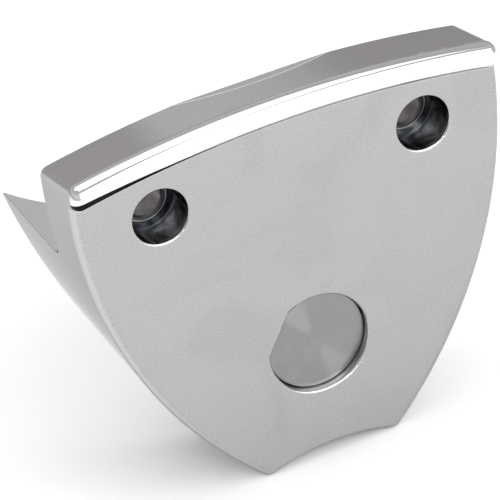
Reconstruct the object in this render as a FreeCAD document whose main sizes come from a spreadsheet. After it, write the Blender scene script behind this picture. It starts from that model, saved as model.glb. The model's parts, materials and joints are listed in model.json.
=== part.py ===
import FreeCAD, Part
import math
import os

import Sketcher

V = FreeCAD.Vector

# Headlamp mounting bracket, millimetres.
# X runs across the bracket, Y runs from the front face to the back, Z is up.
# The origin is midway between the two clamp screws, on the flange's back face.

DIMENSIONS = {
    # two clamp screws, half-inch counterbores two and a half inches apart
    "screw_spacing": 63.5,
    "counterbore_dia": 12.8,
    "counterbore_depth": 9.8,
    "screw_hole_dia": 8.5,
    "sleeve_dia": 11.0,
    "sleeve_chamfer": 0.4,
    # front plate and the flange above the shelf
    "flange_thick": 17.5,
    "side_radius": 111.0,
    "side_centre_out": 59.8,
    "side_centre_up": 5.0,
    "scallop_radius": 49.0,
    "scallop_drop": 72.3,
    # crowned top edge, with the round bead along its front
    "crown_radius": 272.0,
    "crown_top": 18.6,
    "crown_slope": 9.5,
    "bead_radius": 3.0,
    "bead_behind": 0.5,
    "bead_leave": 24.0,
    "back_flat_run": 5.0,
    "back_flat_slope": 17.0,
    # shelf and the two horns behind the flange
    "shelf_drop": 13.0,
    "root_fillet": 6.0,
    "horn_reach": 37.5,
    "saddle_radius": 54.2,
    "saddle_back": 58.8,
    # D-shaped opening and what it holds
    "lamp_drop": 45.2,
    "opening_radius": 12.15,
    "opening_flat": 10.85,
    "flat_angle": 148.0,
    "cover_sunk": 2.0,
    "cover_thick": 2.0,
    "cover_gap": 0.08,
    "cover_chamfer": 0.25,
    "well_radius": 10.6,
    "well_floor": 0.6,
    "skirt_outer": 10.35,
    "skirt_inner": 9.0,
    "skirt_long": 3.2,
    "ring_wire": 0.5,
    "ring_up": 1.6,
    # lamp stud and what clamps it
    "stud_radius": 5.0,
    "stud_hole_radius": 5.25,
    "washer_radius": 10.0,
    "washer_hole_radius": 5.3,
    "washer_thick": 1.6,
    "spring_radius": 8.4,
    "spring_thick": 2.0,
    "spring_split": 1.0,
    "nut_flats": 14.0,
    "nut_thick": 7.0,
    "nut_chamfer": 0.6,
    "nut_bore_radius": 5.05,
    "stud_tip_gap": 0.9,
    "head_flats": 14.0,
    "head_thick": 6.4,
    # rubber lining of the saddle, lamp shell gap and the plate inside the shell
    "lining_thick": 2.0,
    "lining_long": 46.0,
    "lining_wide": 40.0,
    "shell_gap": 1.5,
    "backing_wide": 30.0,
    "backing_long": 26.0,
    "backing_thick": 4.5,
    # edge rounding
    "side_fillet": 2.2,
    "scallop_fillet": 1.1,
    "edge_fillet": 0.4,
    "mouth_fillet": 0.6,
    # small clearances
    "lining_clear": 0.05,
    "ring_clear": 0.02,
    "groove_clear": 0.1,
    "groove_wall_clear": 0.05,
    "corner_lead": 0.2,
    # the block that the bracket is cut from, and how far the cutting outlines reach
    "blank_half": 60.0,
    "blank_low": 85.0,
    "blank_high": 28.0,
    "crown_turn": 40.0,
    "bead_turn": 30.0,
    "outline_top": 30.0,
    "trim_half": 90.0,
    "trim_low": 110.0,
    "trim_high": 50.0,
    "cut_out": 60.0,
    "cut_high": 40.0,
    "cut_through": 300.0,
    "overrun": 5.0,
    "slit_reach": 12.0,
}

# how close a point of an edge lies to a plane, and to a round surface
ON_PLANE = 0.01
ON_ROUND = 0.02
# spans between the points that are tried along an edge
SPANS = 4
# half the length of a construction line that something turns about
AXIS_HALF = 10.0
# least volume that a cut takes away
LEAST_CUT = 0.001
# lowest point of the crowned edge, at its back corners
CROWN_FOOT = 10.5
FULL_TURN = 360.0
HEX_SIDES = 6
HEX_LEAN = 30.0

doc = FreeCAD.newDocument("headlamp_bracket")
sheet = doc.addObject("Spreadsheet::Sheet", "dims")
for row, (alias, value) in enumerate(DIMENSIONS.items(), start=1):
    sheet.set("A%d" % row, alias)
    sheet.set("B%d" % row, str(value))
    sheet.setAlias("B%d" % row, alias)
doc.recompute()


def d(alias):
    """Return one driving dimension as a number."""
    return DIMENSIONS[alias]


def new_body(name):
    """Return an empty body that carries the sub-part's name."""
    body = doc.addObject("PartDesign::Body", name)
    body.Label = name
    return body


def plane(body, role):
    """Return one of the body's own origin planes."""
    for feature in body.Origin.OriginFeatures:
        if feature.Role == role:
            return feature
    raise ValueError(role)


def new_sketch(body, name, role, offset=None):
    """Return a sketch on an origin plane, moved along its normal by an expression."""
    sketch = body.newObject("Sketcher::SketchObject", name)
    sketch.AttachmentSupport = [(plane(body, role), "")]
    sketch.MapMode = "FlatFace"
    if offset is not None:
        sketch.setExpression(".AttachmentOffset.Base.z", offset)
    return sketch


def measure(sketch, kind, name, expression, value, *where):
    """Add one named constraint and tie it to the sheet."""
    index = sketch.addConstraint(Sketcher.Constraint(kind, *where, value))
    sketch.renameConstraint(index, name)
    sketch.setExpression("Constraints." + name, expression)


def circle(sketch, name, across, up, radius, across_name, up_name, radius_name):
    """Draw a full circle whose centre and radius follow the sheet."""
    shape = Part.Circle(V(across, up, 0), V(0, 0, 1), radius)
    index = sketch.addGeometry(shape, False)
    measure(sketch, "Radius", name + "_r", radius_name, radius, index)
    for kind, value, source in (("DistanceX", across, across_name), ("DistanceY", up, up_name)):
        axis_name = name + kind[-1].lower()
        if source is None:
            on_axis = -2 if kind == "DistanceX" else -1
            sketch.addConstraint(Sketcher.Constraint("PointOnObject", index, 3, on_axis))
        elif value >= 0:
            measure(sketch, kind, axis_name, source, value, -1, 1, index, 3)
        else:
            measure(sketch, kind, axis_name, source, -value, index, 3, -1, 1)
    return index


def polygon(sketch, name, corners):
    """Draw a closed polygon; each corner is (value, expression) for both directions."""
    count = len(corners)
    points = [V(corner[0][0], corner[1][0], 0) for corner in corners]
    for index in range(count):
        sketch.addGeometry(Part.LineSegment(points[index], points[(index + 1) % count]), False)
    for index in range(count):
        after = (index + 1) % count
        sketch.addConstraint(Sketcher.Constraint("Coincident", index, 2, after, 1))
    for index, corner in enumerate(corners):
        for kind, (value, source) in zip(("DistanceX", "DistanceY"), corner):
            label = "%s_%d%s" % (name, index, kind[-1].lower())
            if value >= 0:
                measure(sketch, kind, label, source, value, -1, 1, index, 1)
            else:
                measure(sketch, kind, label, "-(" + source + ")", -value, index, 1, -1, 1)


def rectangle(sketch, name, low_x, high_x, low_y, high_y):
    """Draw an upright rectangle from four (value, expression) pairs."""
    polygon(sketch, name, [(low_x, low_y), (high_x, low_y), (high_x, high_y), (low_x, high_y)])


def pad(body, name, sketch, length, reverse=False, middle=False):
    """Pad a sketch by an expression."""
    feature = body.newObject("PartDesign::Pad", name)
    feature.Profile = sketch
    feature.Reversed = reverse
    feature.SideType = "Symmetric" if middle else "One side"
    feature.setExpression("Length", length)
    doc.recompute()
    return feature


def pocket(body, name, sketch, length, reverse=False, middle=False):
    """Cut a sketch by an expression and make sure that it took something away."""
    before = body.Shape.Volume
    feature = body.newObject("PartDesign::Pocket", name)
    feature.Profile = sketch
    feature.Reversed = reverse
    feature.SideType = "Symmetric" if middle else "One side"
    feature.setExpression("Length", length)
    doc.recompute()
    if body.Shape.Volume > before - LEAST_CUT:
        raise ValueError(name + " cuts nothing")
    return feature


def turned(body, name, kind, sketch, angle):
    """Revolve or groove a sketch about its own construction line."""
    feature = body.newObject("PartDesign::" + kind, name)
    feature.Profile = sketch
    feature.ReferenceAxis = (sketch, ["Axis0"])
    feature.Midplane = True
    feature.Angle = angle
    doc.recompute()
    return feature


def crown_axis(sketch):
    """Draw the level axis that the crowned top edge and its bead turn about."""
    depth = d("crown_radius") - d("crown_top")
    line = Part.LineSegment(V(-AXIS_HALF, -depth, 0), V(AXIS_HALF, -depth, 0))
    index = sketch.addGeometry(line, True)
    sketch.addConstraint(Sketcher.Constraint("Horizontal", index))
    source = "dims.crown_radius - dims.crown_top"
    measure(sketch, "DistanceY", "axis_drop", source, depth, index, 1, -1, 1)
    sketch.addConstraint(Sketcher.Constraint("DistanceX", index, 1, -1, 1, AXIS_HALF))
    sketch.addConstraint(Sketcher.Constraint("DistanceX", -1, 1, index, 2, AXIS_HALF))


def shield_outline(sketch):
    """Draw the shield: bulging sides, a scallop below and an open top above the crown."""
    out = d("side_centre_out")
    up = d("side_centre_up")
    side = d("side_radius")
    scallop = d("scallop_radius")
    low = -d("scallop_drop") - scallop
    top = d("outline_top")
    # the corner is where a side arc meets the scallop
    apart = math.hypot(out, up - low)
    toward = math.atan2(low - up, out)
    swing = math.acos((side ** 2 + apart ** 2 - scallop ** 2) / (2 * side * apart))
    corner_angle = toward + swing
    corner = V(-out + side * math.cos(corner_angle), up + side * math.sin(corner_angle), 0)
    top_angle = math.asin((top - up) / side)
    right = Part.Circle(V(-out, up, 0), V(0, 0, 1), side)
    left = Part.Circle(V(out, up, 0), V(0, 0, 1), side)
    below = Part.Circle(V(0, low, 0), V(0, 0, 1), scallop)
    side_high = V(-out + side * math.cos(top_angle), top, 0)
    scallop_right = math.atan2(corner.y - low, corner.x)
    start = sketch.GeometryCount
    sketch.addGeometry(Part.ArcOfCircle(right, corner_angle, top_angle), False)
    sketch.addGeometry(Part.LineSegment(side_high, V(-side_high.x, top, 0)), False)
    sketch.addGeometry(
        Part.ArcOfCircle(left, math.pi - top_angle, math.pi - corner_angle), False)
    sketch.addGeometry(
        Part.ArcOfCircle(below, scallop_right, math.pi - scallop_right), False)
    right_arc, top_line, left_arc, scallop_arc = range(start, start + 4)
    pairs = [
        (right_arc, 2, top_line, 1),
        (top_line, 2, left_arc, 1),
        (left_arc, 2, scallop_arc, 2),
        (scallop_arc, 1, right_arc, 1),
    ]
    for pair in pairs:
        sketch.addConstraint(Sketcher.Constraint("Coincident", *pair))
    sketch.addConstraint(Sketcher.Constraint("Horizontal", top_line))
    measure(sketch, "DistanceY", "top_y", "dims.outline_top", top, -1, 1, top_line, 1)
    measure(sketch, "Radius", "side_r", "dims.side_radius", side, right_arc)
    sketch.addConstraint(Sketcher.Constraint("Equal", right_arc, left_arc))
    measure(sketch, "DistanceX", "right_x", "dims.side_centre_out", out, right_arc, 3, -1, 1)
    measure(sketch, "DistanceY", "right_y", "dims.side_centre_up", up, -1, 1, right_arc, 3)
    measure(sketch, "DistanceX", "left_x", "dims.side_centre_out", out, -1, 1, left_arc, 3)
    measure(sketch, "DistanceY", "left_y", "dims.side_centre_up", up, -1, 1, left_arc, 3)
    measure(sketch, "Radius", "scallop_r", "dims.scallop_radius", scallop, scallop_arc)
    source = "dims.scallop_drop + dims.scallop_radius"
    measure(sketch, "DistanceY", "scallop_y", source, -low, scallop_arc, 3, -1, 1)
    sketch.addConstraint(Sketcher.Constraint("PointOnObject", scallop_arc, 3, -2))


def d_outline(sketch, gap):
    """Draw the D: a circle cut by one slanted flat, drawn in by a gap on all sides."""
    radius = d("opening_radius") - gap
    flat = d("opening_flat") - gap
    drop = d("lamp_drop")
    facing = math.radians(d("flat_angle"))
    half = math.acos(flat / radius)
    ring = Part.Circle(V(0, -drop, 0), V(0, 0, 1), radius)
    arc = Part.ArcOfCircle(ring, facing + half, facing - half + 2 * math.pi)
    ends = []
    for angle in (facing - half, facing + half):
        ends.append(V(radius * math.cos(angle), radius * math.sin(angle) - drop, 0))
    sketch.addGeometry(arc, False)
    sketch.addGeometry(Part.LineSegment(ends[0], ends[1]), False)
    sketch.addConstraint(Sketcher.Constraint("Coincident", 0, 2, 1, 1))
    sketch.addConstraint(Sketcher.Constraint("Coincident", 1, 2, 0, 1))
    sketch.addConstraint(Sketcher.Constraint("PointOnObject", 0, 3, -2))
    measure(sketch, "DistanceY", "drop", "dims.lamp_drop", drop, 0, 3, -1, 1)
    less = "" if gap == 0 else " - dims.cover_gap"
    measure(sketch, "Radius", "round", "dims.opening_radius" + less, radius, 0)
    measure(sketch, "Distance", "flat", "dims.opening_flat" + less, flat, 0, 3, 1)
    lean = math.radians(d("flat_angle") + 90)
    index = sketch.addConstraint(Sketcher.Constraint("Angle", 1, lean))
    sketch.renameConstraint(index, "lean")
    sketch.setExpression("Constraints.lean", "(dims.flat_angle + 90) * 1 deg")


def edges_where(shape, test):
    """Name the edges whose points all pass a test."""
    names = []
    for index, edge in enumerate(shape.Edges, start=1):
        span = edge.LastParameter - edge.FirstParameter
        steps = [edge.FirstParameter + span * step / SPANS for step in range(SPANS + 1)]
        spots = [edge.valueAt(step) for step in steps]
        if all(test(spot) for spot in spots):
            names.append("Edge%d" % index)
    return names


def eased(body, name, test, size_name):
    """Chamfer every edge that passes a test."""
    base = body.Tip
    names = edges_where(base.Shape, test)
    feature = body.newObject("PartDesign::Chamfer", name)
    feature.Base = (base, names)
    feature.setExpression("Size", "dims." + size_name)
    doc.recompute()
    if "Invalid" in feature.State or feature.Shape.isNull() or not feature.Shape.isValid():
        raise ValueError(name + " failed on " + ", ".join(names))
    return feature


def rounded(body, name, test, radius_name):
    """Fillet every edge that passes a test."""
    base = body.Tip
    names = edges_where(base.Shape, test)
    feature = body.newObject("PartDesign::Fillet", name)
    feature.Base = (base, names)
    feature.setExpression("Radius", "dims." + radius_name)
    doc.recompute()
    if "Invalid" in feature.State or feature.Shape.isNull() or not feature.Shape.isValid():
        raise ValueError(name + " failed on " + ", ".join(names))
    return feature


def crown_start():
    """Return where the crown leaves the bead: (depth, height) and their expressions."""
    seat = -d("flange_thick") + d("bead_behind")
    heart = d("crown_top") - d("bead_radius")
    lean = math.radians(d("bead_leave"))
    depth = seat + d("bead_radius") * math.sin(lean)
    height = heart + d("bead_radius") * math.cos(lean)
    depth_name = "-dims.flange_thick + dims.bead_behind"
    depth_name += " + dims.bead_radius * sin(dims.bead_leave * 1 deg)"
    height_name = "dims.crown_top - dims.bead_radius"
    height_name += " + dims.bead_radius * cos(dims.bead_leave * 1 deg)"
    return depth, height, depth_name, height_name


def crown_height(depth, depth_name):
    """Return the crown's height at one depth on the middle line, and its expression."""
    first, top, first_name, top_name = crown_start()
    height = top - (depth - first) * math.tan(math.radians(d("crown_slope")))
    source = "%s - (%s - (%s)) * tan(dims.crown_slope * 1 deg)" % (top_name, depth_name, first_name)
    return height, source


def bracket_blank(body):
    """The block that the bracket is cut from."""
    blank = new_sketch(body, "blank_outline", "XZ_Plane", "dims.flange_thick")
    half = d("blank_half")
    rectangle(blank, "blank", (-half, "-dims.blank_half"), (half, "dims.blank_half"),
              (-d("blank_low"), "-dims.blank_low"), (d("blank_high"), "dims.blank_high"))
    pad(body, "blank", blank, "dims.flange_thick + dims.horn_reach", reverse=True)


def crowned_top(body):
    """The crowned top: a shallow cone that leaves the bead's top and drops to the back."""
    depth, height, depth_name, height_name = crown_start()
    heart = (d("crown_top") - d("bead_radius"), "dims.crown_top - dims.bead_radius")
    back = (d("horn_reach") + d("overrun"), "dims.horn_reach + dims.overrun")
    front = (-d("flange_thick") - d("overrun"), "-dims.flange_thick - dims.overrun")
    high = (d("cut_high"), "dims.cut_high")
    crown = new_sketch(body, "crown_profile", "YZ_Plane")
    polygon(crown, "crown", [
        (front, heart),
        ((depth, depth_name), heart),
        ((depth, depth_name), (height, height_name)),
        (back, crown_height(*back)),
        (back, high),
        (front, high),
    ])
    crown_axis(crown)
    turned(body, "crown", "Groove", crown, d("crown_turn"))


def front_bead(body):
    """The round bead along the front of the crown, its centre just behind the face."""
    seat = -d("flange_thick") + d("bead_behind")
    heart = d("crown_top") - d("bead_radius")
    bead = new_sketch(body, "bead_profile", "YZ_Plane")
    circle(bead, "bead", seat, heart, d("bead_radius"), "dims.flange_thick - dims.bead_behind",
           "dims.crown_top - dims.bead_radius", "dims.bead_radius")
    crown_axis(bead)
    turned(body, "bead", "Revolution", bead, d("bead_turn"))


def flange_step(body):
    """The flange's back and the shelf, with a generous root fillet between them."""
    step = new_sketch(body, "step_profile", "YZ_Plane")
    root = d("root_fillet")
    shelf = -d("shelf_drop")
    out = d("cut_out")
    spots = [V(0, shelf + root, 0), V(root, shelf, 0), V(out, shelf, 0), V(out, out, 0),
             V(0, out, 0)]
    corner = Part.Circle(V(root, shelf + root, 0), V(0, 0, 1), root)
    step.addGeometry(Part.ArcOfCircle(corner, math.pi, 1.5 * math.pi), False)
    for index in range(1, len(spots)):
        after = spots[(index + 1) % len(spots)]
        step.addGeometry(Part.LineSegment(spots[index], after), False)
    for first, second in ((1, 2), (2, 3), (3, 4)):
        step.addConstraint(Sketcher.Constraint("Coincident", first, 2, second, 1))
    step.addConstraint(Sketcher.Constraint("Tangent", 0, 2, 1, 1))
    step.addConstraint(Sketcher.Constraint("Tangent", 4, 2, 0, 1))
    for index in (1, 3):
        step.addConstraint(Sketcher.Constraint("Horizontal", index))
    step.addConstraint(Sketcher.Constraint("Vertical", 2))
    step.addConstraint(Sketcher.Constraint("PointOnObject", 4, 1, -2))
    step.addConstraint(Sketcher.Constraint("PointOnObject", 4, 2, -2))
    measure(step, "DistanceX", "out", "dims.cut_out", out, -1, 1, 2, 1)
    measure(step, "DistanceY", "high", "dims.cut_out", out, -1, 1, 4, 1)
    measure(step, "Radius", "root", "dims.root_fillet", root, 0)
    measure(step, "DistanceY", "shelf", "dims.shelf_drop", -shelf, 1, 2, -1, 1)
    pocket(body, "step", step, "dims.cut_through", middle=True)


def saddle_bed(body):
    """The round bed for the lamp shell, which leaves the two horns."""
    bed = new_sketch(body, "saddle_circle", "XY_Plane")
    circle(bed, "saddle", 0, d("saddle_back"), d("saddle_radius"), None,
           "dims.saddle_back", "dims.saddle_radius")
    pocket(body, "saddle", bed, "dims.cut_through", middle=True)


def shield_trim(body):
    """Take away everything outside the shield's outline."""
    trim = new_sketch(body, "shield", "XZ_Plane")
    shield_outline(trim)
    first = trim.GeometryCount
    half = d("trim_half")
    low = -d("trim_low")
    high = d("trim_high")
    outer = [V(-half, low, 0), V(half, low, 0), V(half, high, 0), V(-half, high, 0)]
    for index in range(len(outer)):
        after = outer[(index + 1) % len(outer)]
        trim.addGeometry(Part.LineSegment(outer[index], after), False)
    for index in range(len(outer)):
        after = first + (index + 1) % len(outer)
        trim.addConstraint(Sketcher.Constraint("Coincident", first + index, 2, after, 1))
        trim.addConstraint(Sketcher.Constraint("Block", first + index))
    pocket(body, "shield_cut", trim, "dims.cut_through", middle=True)


def back_flat(body):
    """The short flat across the middle of the crown's back edge."""
    run = d("back_flat_run")
    fall = 2 * run * math.tan(math.radians(d("back_flat_slope")))
    top, top_name = crown_height(-run, "-dims.back_flat_run")
    fall_name = " - 2 * dims.back_flat_run * tan(dims.back_flat_slope * 1 deg)"
    high = (d("cut_high"), "dims.cut_high")
    flat = new_sketch(body, "back_flat_profile", "YZ_Plane")
    polygon(flat, "flat", [
        ((-run, "-dims.back_flat_run"), (top, top_name)),
        ((run, "dims.back_flat_run"), (top - fall, top_name + fall_name)),
        ((run, "dims.back_flat_run"), high),
        ((-run, "-dims.back_flat_run"), high),
    ])
    pocket(body, "back_flat", flat, "dims.cut_through", middle=True)


def bracket_body():
    """The one-piece bracket: shield plate, flange, shelf, horns and saddle."""
    body = new_body("bracket_body")
    bracket_blank(body)
    crowned_top(body)
    front_bead(body)
    flange_step(body)
    saddle_bed(body)
    shield_trim(body)
    back_flat(body)
    body_rounding(body)
    screw_holes(body)
    lamp_opening(body)
    mouth_rounding(body)


def body_rounding(body):
    """Round the outside edges of the bracket."""
    face = -d("flange_thick")
    low = -d("scallop_drop") - d("scallop_radius")

    def on_side(spot):
        reach = math.hypot(abs(spot.x) + d("side_centre_out"), spot.z - d("side_centre_up"))
        return abs(reach - d("side_radius")) < ON_ROUND

    def on_scallop(spot):
        return abs(math.hypot(spot.x, spot.z - low) - d("scallop_radius")) < ON_ROUND

    def on_face(spot):
        return abs(spot.y - face) < ON_PLANE

    def on_back(spot):
        return abs(spot.y) < ON_PLANE

    heart = d("crown_radius") - d("bead_radius")

    def on_bead(spot):
        out = math.hypot(spot.x, spot.z + d("crown_radius") - d("crown_top")) - heart
        along = spot.y - face - d("bead_behind")
        return abs(math.hypot(out, along) - d("bead_radius")) < ON_ROUND

    def on_crown(spot):
        return spot.z > CROWN_FOOT and spot.y > crown_start()[0] - ON_ROUND

    def on_front(spot):
        return on_side(spot) and (on_crown(spot) or on_bead(spot) or on_face(spot))

    rounded(body, "side_round", on_front, "side_fillet")
    rounded(body, "scallop_round", lambda spot: on_scallop(spot) and on_face(spot),
            "scallop_fillet")
    rounded(body, "back_side_round", lambda spot: on_side(spot) and on_back(spot),
            "edge_fillet")


def screw_pair(sketch, dia_name):
    """Draw one circle for each clamp screw."""
    for name, side in (("right", 1), ("left", -1)):
        circle(sketch, name, side * d("screw_spacing") / 2, 0, d(dia_name) / 2,
               "dims.screw_spacing / 2", None, "dims." + dia_name + " / 2")


def screw_holes(body):
    """Cut the two counterbores and the holes that the sleeves are pressed into."""
    bores = new_sketch(body, "counterbore_circles", "XZ_Plane", "dims.flange_thick")
    screw_pair(bores, "counterbore_dia")
    pocket(body, "counterbores", bores, "dims.counterbore_depth")
    seats = new_sketch(body, "sleeve_circles", "XZ_Plane", "dims.flange_thick")
    screw_pair(seats, "sleeve_dia")
    pocket(body, "sleeve_holes", seats, "dims.flange_thick + dims.overrun")


def lamp_opening(body):
    """Cut the D-shaped opening, the nut's well behind it and the stud's hole."""
    opening = new_sketch(body, "opening_outline", "XZ_Plane", "dims.flange_thick")
    d_outline(opening, 0)
    pocket(body, "opening", opening, "dims.cover_sunk + dims.cover_thick")
    ledge = "dims.flange_thick - dims.cover_sunk - dims.cover_thick"
    well = new_sketch(body, "well_circle", "XZ_Plane", ledge)
    circle(well, "well", 0, -d("lamp_drop"), d("well_radius"), None, "dims.lamp_drop",
           "dims.well_radius")
    pocket(body, "well", well, ledge + " - dims.well_floor")
    stud = new_sketch(body, "stud_hole_circle", "XZ_Plane", "dims.flange_thick")
    circle(stud, "stud", 0, -d("lamp_drop"), d("stud_hole_radius"), None, "dims.lamp_drop",
           "dims.stud_hole_radius")
    pocket(body, "stud_hole", stud, "dims.flange_thick + dims.horn_reach")


def mouth_rounding(body):
    """Round the mouths of the counterbores and of the D-shaped opening."""
    face = -d("flange_thick")
    half = d("screw_spacing") / 2

    def on_mouth(spot):
        if abs(spot.y - face) > ON_PLANE:
            return False
        screw = math.hypot(abs(spot.x) - half, spot.z)
        lamp = math.hypot(spot.x, spot.z + d("lamp_drop"))
        return screw < d("counterbore_dia") or lamp < d("opening_radius") + ON_ROUND

    rounded(body, "mouth_round", on_mouth, "mouth_fillet")


def screw_sleeve(name, side):
    """A steel sleeve pressed into one screw hole of the flange."""
    body = new_body(name)
    across = side * d("screw_spacing") / 2
    source = "dims.screw_spacing / 2"
    ring = new_sketch(body, name + "_rings", "XZ_Plane")
    circle(ring, "outer", across, 0, d("sleeve_dia") / 2, source, None, "dims.sleeve_dia / 2")
    circle(ring, "inner", across, 0, d("screw_hole_dia") / 2, source, None,
           "dims.screw_hole_dia / 2")
    pad(body, name + "_wall", ring, "dims.flange_thick - dims.counterbore_depth")
    top = d("counterbore_depth") - d("flange_thick")

    def on_lip(spot):
        reach = math.hypot(spot.x - across, spot.z)
        level = abs(spot.y - top) < ON_PLANE
        return level and abs(reach - d("screw_hole_dia") / 2) < ON_PLANE

    eased(body, name + "_lip", on_lip, "sleeve_chamfer")


def lamp_ring(body, name, offset, outer, inner, length, reverse=False):
    """Pad a plain ring about the lamp stud's axis, starting at an offset plane."""
    sketch = new_sketch(body, name + "_rings", "XZ_Plane", offset)
    drop = -d("lamp_drop")
    circle(sketch, "outer", 0, drop, d(outer), None, "dims.lamp_drop", "dims." + outer)
    if inner:
        circle(sketch, "inner", 0, drop, d(inner), None, "dims.lamp_drop", "dims." + inner)
    pad(body, name, sketch, length, reverse=reverse)


def lamp_axis(sketch):
    """Draw the lamp stud's axis as a construction line."""
    drop = d("lamp_drop")
    line = Part.LineSegment(V(-AXIS_HALF, -drop, 0), V(AXIS_HALF, -drop, 0))
    index = sketch.addGeometry(line, True)
    sketch.addConstraint(Sketcher.Constraint("Horizontal", index))
    measure(sketch, "DistanceY", "axis_drop", "dims.lamp_drop", drop, index, 1, -1, 1)
    sketch.addConstraint(Sketcher.Constraint("DistanceX", index, 1, -1, 1, AXIS_HALF))
    sketch.addConstraint(Sketcher.Constraint("DistanceX", -1, 1, index, 2, AXIS_HALF))


def lamp_hexagon(body, name, offset, flats, length):
    """Pad a hexagon about the lamp stud's axis, two of its flats upright."""
    sketch = new_sketch(body, name + "_hexagon", "XZ_Plane", offset)
    radius = d(flats) / 2 / math.cos(math.radians(HEX_LEAN))
    drop = -d("lamp_drop")
    corners = []
    for index in range(HEX_SIDES):
        angle = math.radians(HEX_LEAN + index * FULL_TURN / HEX_SIDES)
        corners.append(V(radius * math.cos(angle), radius * math.sin(angle) + drop, 0))
    for index in range(HEX_SIDES):
        after = corners[(index + 1) % HEX_SIDES]
        sketch.addGeometry(Part.LineSegment(corners[index], after), False)
    ring = sketch.addGeometry(Part.Circle(V(0, drop, 0), V(0, 0, 1), radius), True)
    for index in range(HEX_SIDES):
        after = (index + 1) % HEX_SIDES
        sketch.addConstraint(Sketcher.Constraint("Coincident", index, 2, after, 1))
        sketch.addConstraint(Sketcher.Constraint("PointOnObject", index, 1, ring))
    for index in range(1, HEX_SIDES):
        sketch.addConstraint(Sketcher.Constraint("Equal", 0, index))
    sketch.addConstraint(Sketcher.Constraint("Vertical", HEX_SIDES - 1))
    sketch.addConstraint(Sketcher.Constraint("PointOnObject", ring, 3, -2))
    measure(sketch, "DistanceY", "drop", "dims.lamp_drop", -drop, ring, 3, -1, 1)
    source = "dims.%s / 2 / cos(%g deg)" % (flats, HEX_LEAN)
    measure(sketch, "Radius", "corner", source, radius, ring)
    pad(body, name, sketch, length)


def corner_groove(body, name, end, end_name, inward, flats):
    """Turn the hexagon's corners down to a shallow cone at one end."""
    sketch = new_sketch(body, name + "_profile", "YZ_Plane")
    drop = d("lamp_drop")
    inner = d(flats) / 2 - d("corner_lead") - drop
    outer = d(flats) * 3 / 4 - drop
    depth = inward * (outer - inner) * math.tan(math.radians(HEX_LEAN))
    inner_name = "dims.%s / 2 - dims.corner_lead - dims.lamp_drop" % flats
    outer_name = "dims.%s * 3 / 4 - dims.lamp_drop" % flats
    reach = "(%s - (%s)) * tan(%g deg)" % (outer_name, inner_name, HEX_LEAN)
    depth_name = end_name + (" + " if inward > 0 else " - ") + reach
    polygon(sketch, "cone", [
        ((end, end_name), (inner, inner_name)),
        ((end + depth, depth_name), (outer, outer_name)),
        ((end, end_name), (outer, outer_name)),
    ])
    lamp_axis(sketch)
    turned(body, name, "Groove", sketch, FULL_TURN)


def cover_disc():
    """The turned disc in the D-shaped opening, with a skirt that reaches into the well."""
    body = new_body("cover_disc")
    outline = new_sketch(body, "cover_outline", "XZ_Plane", "dims.flange_thick - dims.cover_sunk")
    d_outline(outline, d("cover_gap"))
    pad(body, "cover_plate", outline, "dims.cover_thick", reverse=True)
    under = "dims.flange_thick - dims.cover_sunk - dims.cover_thick"
    lamp_ring(body, "cover_skirt", under, "skirt_outer", "skirt_inner", "dims.skirt_long",
              reverse=True)
    middle = -d("flange_thick") + d("cover_sunk") + d("cover_thick") + d("ring_up")
    middle_name = "-(%s) + dims.ring_up" % under
    half = d("ring_wire") + d("groove_clear")
    half_name = "(dims.ring_wire + dims.groove_clear)"
    deep = d("well_radius") - 2 * d("ring_wire") - d("groove_wall_clear") - d("lamp_drop")
    deep_name = "dims.well_radius - 2 * dims.ring_wire - dims.groove_wall_clear - dims.lamp_drop"
    wide = d("opening_radius") - d("lamp_drop")
    wide_name = "dims.opening_radius - dims.lamp_drop"
    groove = new_sketch(body, "cover_groove_profile", "YZ_Plane")
    rectangle(groove, "groove", (middle - half, middle_name + " - " + half_name),
              (middle + half, middle_name + " + " + half_name),
              (deep, deep_name), (wide, wide_name))
    lamp_axis(groove)
    turned(body, "cover_groove", "Groove", groove, FULL_TURN)
    front = -d("flange_thick") + d("cover_sunk")
    eased(body, "cover_edge", lambda spot: abs(spot.y - front) < ON_PLANE, "cover_chamfer")


def cover_ring():
    """The rubber ring in the skirt's groove, which grips the wall of the well."""
    body = new_body("cover_ring")
    sketch = new_sketch(body, "ring_profile", "YZ_Plane")
    middle = -d("flange_thick") + d("cover_sunk") + d("cover_thick") + d("ring_up")
    middle_name = "dims.flange_thick - dims.cover_sunk - dims.cover_thick - dims.ring_up"
    reach = d("well_radius") - d("ring_wire") - d("ring_clear") - d("lamp_drop")
    reach_name = "dims.lamp_drop - dims.well_radius + dims.ring_wire + dims.ring_clear"
    circle(sketch, "wire", middle, reach, d("ring_wire"), middle_name, reach_name,
           "dims.ring_wire")
    lamp_axis(sketch)
    turned(body, "ring", "Revolution", sketch, FULL_TURN)


def flat_washer():
    """The plain washer on the floor of the well."""
    body = new_body("flat_washer")
    lamp_ring(body, "washer", "dims.well_floor", "washer_radius", "washer_hole_radius",
              "dims.washer_thick")


def lock_washer():
    """The split spring washer between the plain washer and the nut."""
    body = new_body("lock_washer")
    seat = "dims.well_floor + dims.washer_thick"
    lamp_ring(body, "spring", seat, "spring_radius", "washer_hole_radius", "dims.spring_thick")
    slit = new_sketch(body, "split_outline", "XZ_Plane", seat)
    half = d("spring_split") / 2
    top = d("slit_reach") - d("lamp_drop")
    rectangle(slit, "split", (-half, "-dims.spring_split / 2"), (half, "dims.spring_split / 2"),
              (-d("lamp_drop"), "-dims.lamp_drop"), (top, "dims.slit_reach - dims.lamp_drop"))
    pocket(body, "split", slit, "dims.spring_thick", reverse=True)


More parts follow.
